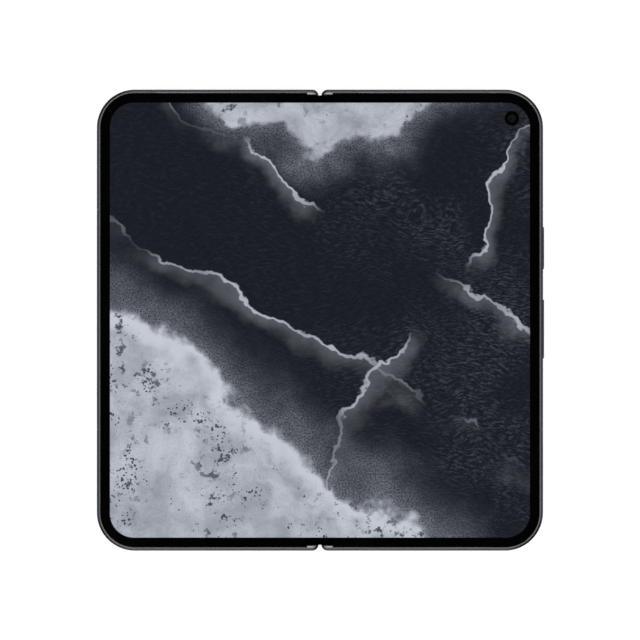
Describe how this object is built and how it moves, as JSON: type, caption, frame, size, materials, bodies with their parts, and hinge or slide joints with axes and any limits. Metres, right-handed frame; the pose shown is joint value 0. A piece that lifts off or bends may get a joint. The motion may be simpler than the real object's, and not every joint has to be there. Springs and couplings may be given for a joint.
{
  "type": "foldable smartphone",
  "caption": "Slim book-style foldable smartphone, fully unfolded, with a nearly square inner screen, geared hinge, pull-out card tray, side keys and a raised camera island on its back.",
  "frame": {"origin": "middle of the footprint, on the surface that the phone lies on, below the middle of the hinge spine", "axes": "+X to the right across the fold, +Y along the fold towards the phone's top, +Z out of the inner screen"},
  "size_m": [0.1506, 0.1552, 0.0075],
  "materials": {
    "frame_metal": "satin, dark grey, anodised",
    "spine_metal": "satin, dark grey, anodised",
    "hinge_steel": "brushed",
    "bright_steel": "ground",
    "spring_steel": "spring steel",
    "inner_screen": "lit folding screen under clear film",
    "bezel": "soft black",
    "antenna_plastic": "moulded",
    "cover_glass": "polished, black behind",
    "cover_panel": "black",
    "rear_glass": "fine frosted glass",
    "island_metal": "satin, dark grey",
    "window_glass": "polished",
    "camera_black": "black",
    "flash_lens": "clear yellowish",
    "battery_wrap": "film wrap",
    "board": "solder mask",
    "inner_plastic": "moulded",
    "shield_metal": "stamped",
    "coil_copper": "copper wire and ferrite",
    "flex_film": "flexible circuit film",
    "support_metal": "thin sheet"
  },
  "bodies": {
    "hinge_spine": {"spine_cover": "spine_metal", "hinge_base_top": "hinge_steel", "hinge_base_bottom": "hinge_steel", "centre_support": "hinge_steel", "gear_shafts": "bright_steel", "hinge_base_screws": "bright_steel", "spring_washers": "spring_steel", "display_fold_zone": "inner_screen", "hinge_flex_cable": "flex_film"},
    "left_half": {"left_frame": "frame_metal", "left_antenna_bands": "antenna_plastic", "cover_glass": "cover_glass", "cover_display_panel": "cover_panel", "cover_camera": "camera_black", "left_battery": "battery_wrap", "left_board": "board", "earpiece_speaker": "inner_plastic", "left_bezel": "bezel", "left_support_plate": "support_metal", "display_left_panel": "inner_screen", "left_hinge_arms": "hinge_steel", "left_arm_screws": "bright_steel", "card_reader": "shield_metal"},
    "right_half": {"right_frame": "frame_metal", "right_antenna_bands": "antenna_plastic", "rear_cover": "rear_glass", "camera_island": "island_metal", "camera_window": "window_glass", "main_camera": "camera_black", "wide_camera": "camera_black", "tele_camera": "camera_black", "flash_led": "flash_lens", "right_battery": "battery_wrap", "main_board": "board", "board_shields": "shield_metal", "charging_coil": "coil_copper", "loudspeaker": "inner_plastic", "charging_port": "shield_metal", "vibration_motor": "shield_metal", "inner_camera": "camera_black", "right_bezel": "bezel", "right_support_plate": "support_metal", "display_right_panel": "inner_screen", "right_hinge_arms": "hinge_steel", "right_arm_screws": "bright_steel", "key_switches": "flex_film"},
    "left_wing": {"left_wing_plate": "hinge_steel"},
    "right_wing": {"right_wing_plate": "hinge_steel"},
    "left_timing": {"left_timing_arms": "bright_steel"},
    "right_timing": {"right_timing_arms": "bright_steel"},
    "left_idler": {"left_idler_gears": "bright_steel"},
    "right_idler": {"right_idler_gears": "bright_steel"},
    "power": {"power_key": "frame_metal"},
    "volume": {"volume_rocker": "frame_metal"},
    "tray": {"card_tray": "frame_metal"}
  },
  "joints": [
    {"name": "left_fold", "type": "hinge", "parent": "hinge_spine", "child": "left_half", "pos_m": [-0.00115, 0, 0.0065], "axis": [0, 1, 0], "range_deg": [0, 90], "deforming": ["display_fold_zone", "hinge_flex_cable"]},
    {"name": "right_fold", "type": "hinge", "parent": "hinge_spine", "child": "right_half", "pos_m": [0.00115, 0, 0.0065], "axis": [0, 1, 0], "range_deg": [-90, 0]},
    {"name": "left_wing_tilt", "type": "hinge", "parent": "left_half", "child": "left_wing", "pos_m": [-0.005, 0, 0.00665], "axis": [0, 1, 0], "range_deg": [0, 25]},
    {"name": "right_wing_tilt", "type": "hinge", "parent": "right_half", "child": "right_wing", "pos_m": [0.005, 0, 0.00665], "axis": [0, 1, 0], "range_deg": [-25, 0]},
    {"name": "left_timing_turn", "type": "hinge", "parent": "hinge_spine", "child": "left_timing", "pos_m": [-0.0024, 0, 0.00545], "axis": [0, 1, 0], "range_deg": [0, 90]},
    {"name": "left_idler_turn", "type": "hinge", "parent": "hinge_spine", "child": "left_idler", "pos_m": [-0.0008, 0, 0.00545], "axis": [0, 1, 0], "range_deg": [-90, 0]},
    {"name": "right_idler_turn", "type": "hinge", "parent": "hinge_spine", "child": "right_idler", "pos_m": [0.0008, 0, 0.00545], "axis": [0, 1, 0], "range_deg": [0, 90]},
    {"name": "right_timing_turn", "type": "hinge", "parent": "hinge_spine", "child": "right_timing", "pos_m": [0.0024, 0, 0.00545], "axis": [0, 1, 0], "range_deg": [-90, 0]},
    {"name": "power_press", "type": "slide", "parent": "right_half", "child": "power", "axis": [-1, 0, 0], "range_m": [0, 0.00025], "stiffness_N_per_m": 6000, "springref_m": -0.0001},
    {"name": "volume_rock", "type": "hinge", "parent": "right_half", "child": "volume", "pos_m": [0.0734, -0.003, 0.0049], "axis": [0, 0, 1], "range_deg": [-1.5, 1.5], "stiffness_Nm_per_rad": 0.3},
    {"name": "tray_slide", "type": "slide", "parent": "left_half", "child": "tray", "axis": [0, -1, 0], "range_m": [0, 0.016]}
  ],
  "couplings": [
    {"joint": "right_fold", "follows": "left_fold", "ratio": -1},
    {"joint": "left_wing_tilt", "follows": "left_fold", "ratio": 0.27778},
    {"joint": "right_wing_tilt", "follows": "left_fold", "ratio": -0.27778},
    {"joint": "left_timing_turn", "follows": "left_fold", "ratio": 1},
    {"joint": "left_idler_turn", "follows": "left_fold", "ratio": -1},
    {"joint": "right_idler_turn", "follows": "left_fold", "ratio": 1},
    {"joint": "right_timing_turn", "follows": "left_fold", "ratio": -1}
  ]
}
